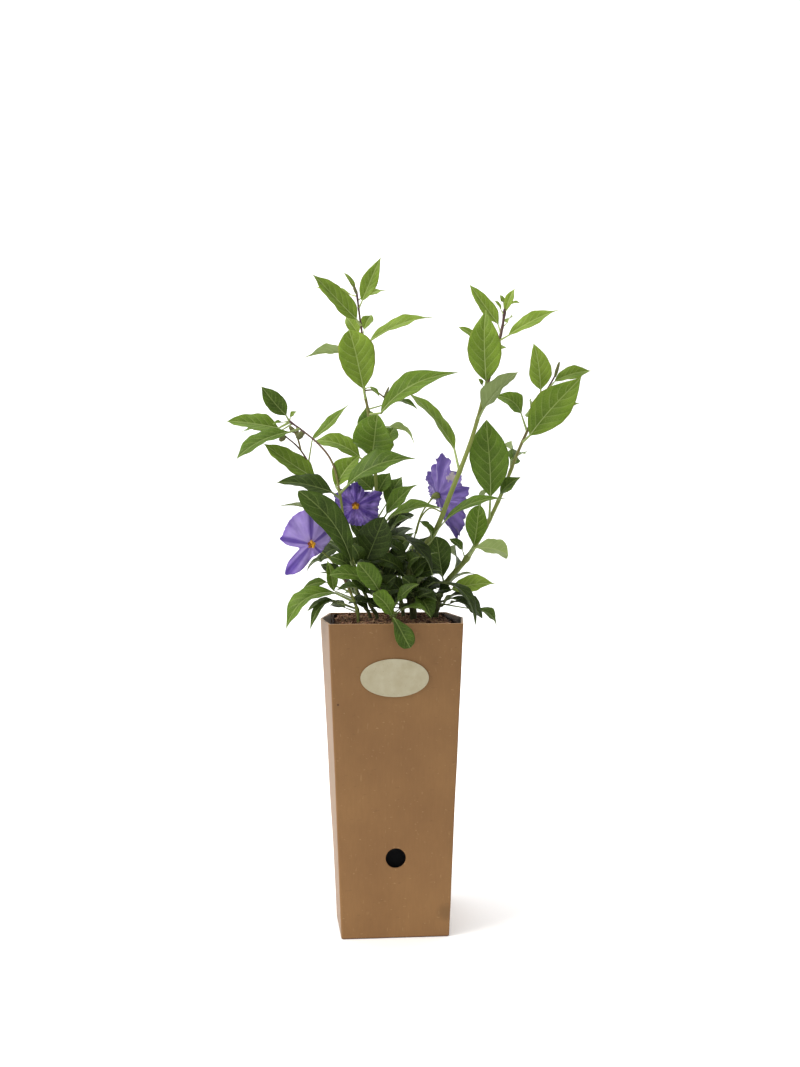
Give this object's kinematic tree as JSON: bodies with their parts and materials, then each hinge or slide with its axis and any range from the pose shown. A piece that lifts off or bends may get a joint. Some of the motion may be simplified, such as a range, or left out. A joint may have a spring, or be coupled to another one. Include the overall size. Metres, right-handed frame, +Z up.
{
  "type": "potted blue potato bush",
  "caption": "Young flowering shrub with leafy stems and violet blooms, in a deep square nursery pot that stands in a tapered card sleeve.",
  "frame": {"origin": "middle of the sleeve's foot, on the surface that it stands on", "axes": "+Z up, the sleeve's front panel with the label and the round hole faces -Y, +X to the right as seen from the front"},
  "size_m": [0.2186, 0.105, 0.3898],
  "materials": {
    "kraft_board": "matte",
    "label_paper": "matte",
    "black_plastic": "satin",
    "peat": "matte",
    "foliage": "satin",
    "petal": "satin",
    "anther": "satin"
  },
  "bodies": {
    "root": {"card_sleeve": "kraft_board", "oval_label": "label_paper", "nursery_pot": "black_plastic", "soil": "peat", "centre_stem": "foliage", "right_stem": "foliage", "far_right_stem": "foliage", "left_stem": "foliage", "budded_stem": "foliage", "low_left_spray": "foliage", "front_spray": "foliage", "rear_spray": "foliage", "left_corolla": "petal", "middle_corolla": "petal", "right_corolla": "petal", "left_anthers": "anther", "middle_anthers": "anther", "right_anthers": "anther"}
  },
  "joints": []
}
